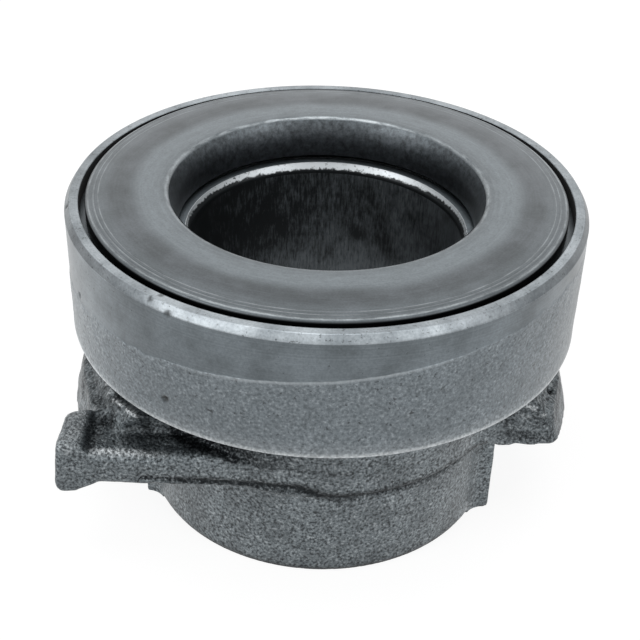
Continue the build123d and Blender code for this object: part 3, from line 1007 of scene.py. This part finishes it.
# painted shade: the throat is darker further down and lighter toward its top
upper = addNode(tree, "Math", {0: patch, 1: 1.5 * mm, 2: parts.outputs[2]}, operation="MULTIPLY_ADD")
upper = addNode(tree, "MapRange", {"Value": upper, "From Min": 70.5 * mm, "From Max": 75.4 * mm})
throat = addNode(
    tree, "Mix", {0: upper, 6: steel["throat"], 7: steel["throatTop"]}, data_type="RGBA", output=2
)
mottle = spotted(  # dried grease stands in blotches in the throat
    tree, place, size=1.3, detail=5.0, roughness=0.7, low=0.34, high=0.66, least=0.5, most=1.45
)
throat = addNode(tree, "VectorMath", {0: throat, "Scale": mottle}, operation="SCALE")
inThroat = addNode(tree, "MapRange", {"Value": radius, "From Min": 34.05 * mm, "From Max": 34.3 * mm})
color = addNode(tree, "Mix", {0: inThroat, 6: throat, 7: color}, data_type="RGBA", output=2)
flank = addNode(  # old grease and painted shade: the outer flank, down in the gap, is near black
    tree, "MapRange", {"Value": radius, "From Min": 51.55 * mm, "From Max": 51.72 * mm}
)
color = addNode(tree, "Mix", {0: flank, 6: color, 7: iron["greaseAndShade"]}, data_type="RGBA", output=2)
tone = addNode(tree, "Math", {0: lines, 1: 0.35, 2: streak}, operation="MULTIPLY_ADD")
tone = addNode(tree, "Math", {0: tone, 1: speck}, operation="ADD")
tone = addNode(
    tree, "MapRange", {"Value": tone, "From Min": 0.85, "From Max": 1.5, "To Min": 0.80, "To Max": 1.20}
)
color = addNode(tree, "VectorMath", {0: color, "Scale": tone}, operation="SCALE")
rough = addNode(tree, "MapRange", {"Value": patch, "To Min": 0.36, "To Max": 0.5})
shadeWith(tree, color, rough, lines, relief=0.004, metallic=1.0, oil=0.4)


def faceHeight(radius):  # crowned face, lowest at its outer edge
    share = (radius - ring["inner"]) / (ring["outer"] - ring["inner"])
    return ring["top"] - ring["fall"] * share + ring["crown"] * (1 - (2 * share - 1) ** 2)


def ringProfile():  # from the ridge out over the face, down, back below, and up the throat
    inner, outer, top, ridge = ring["inner"], ring["outer"], ring["top"], ring["ridge"]
    throat, foot, bottom = ring["throat"], ring["throatFoot"], ring["bottom"]
    radii = [inner + 0.35 * i for i in range(40)]
    fine = 48.3  # finer steps where the grooves are
    while fine < 51.0:
        radii.append(fine)
        fine += 0.08
    points = []
    for radius in (r for r in radii if inner + ridge < r < 51.0):
        height = faceHeight(radius)
        for middle, width, deep in ring["grooves"]:
            height -= deep * max(0.0, 1 - abs(radius - middle) / width)
        points.append((radius, height))
    corner = ring["corner"]
    points += arc((outer - corner, faceHeight(outer) - corner), corner, 88, 0, 7)
    seat, seatLow, seatHigh = ring["seat"]
    points += [(outer, seatHigh + 0.098), (outer - 0.1, seatHigh), (seat, seatHigh)]
    points += [(seat, seatLow), (outer - 0.1, seatLow), (outer, seatLow - 0.102)]
    points += [(outer, bottom + 0.498), (outer - 0.5, bottom), (48.2, bottom)]
    points += arc((43.25, 62.41), 6.0, 34.54, 145.46, 14)  # the groove for the balls
    points += [(38.3, bottom), (throat + 0.1, bottom), (throat, bottom + 0.088), (throat, foot)]
    # The throat is a bell mouth: an arc that starts upright and ends at the ridge
    rise, reach = top - foot, inner - throat
    bell = (rise * rise + reach * reach) / (2 * reach)
    end = math.asin(rise / bell)
    points += arc((throat + bell, foot), bell, 180, 180 - math.degrees(end), 14)[1:-1]
    # The ridge is a curve from the throat to the face, drawn towards the sharp edge
    edge = (inner, faceHeight(inner))
    low, high = (edge[0] - ridge * math.sin(end), edge[1] - ridge), points[0]
    for share in (0.0, 0.15, 0.3, 0.45, 0.6, 0.75, 0.9):
        ofLow, ofEdge, ofHigh = (1 - share) ** 2, 2 * share * (1 - share), share ** 2
        points.append(tuple(ofLow * low[i] + ofEdge * edge[i] + ofHigh * high[i] for i in (0, 1)))
    return points


ringPiece = spinProfile("thrustRing", ringProfile(), ring["steps"])
ringPiece.data.materials.append(ringSteel)
finishPiece(ringPiece, "ring", ["thrust_ring"])
print("ring done:", len(ringPiece.data.polygons), "faces")


# Pieces inside, kept as the frame gives them

inside = {
    # material: colour, darker colour, roughness, nodes
    "bearingSteelGround": ("#aab0b3", "#8b9194", 0.22, ["lower_race"]),
    "springSteelOiled": ("#5a6064", "#3f4548", 0.35, ["snap_ring"]),
    "sheetSteelPressed": ("#8f9598", "#6f7578", 0.38, ["ball_cage"]),
    "bearingSteelLapped": ("#c3c8ca", "#a9afb2", 0.10, [f"ball_{i:02d}" for i in range(1, 19)]),
}
for name, (main, dark, dull, nodes) in inside.items():
    material, tree, place = newSurface(name)
    color, rough, height = turnedLook(tree, place, main, dark)
    rough = addNode(tree, "MapRange", {"Value": rough, "To Min": dull * 0.7, "To Max": dull * 1.6})
    shadeWith(tree, color, rough, height, relief=0.004, metallic=1.0, oil=0.3)
    for node in nodes:
        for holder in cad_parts[node].material_slots:
            holder.material = material
print("inner pieces done")
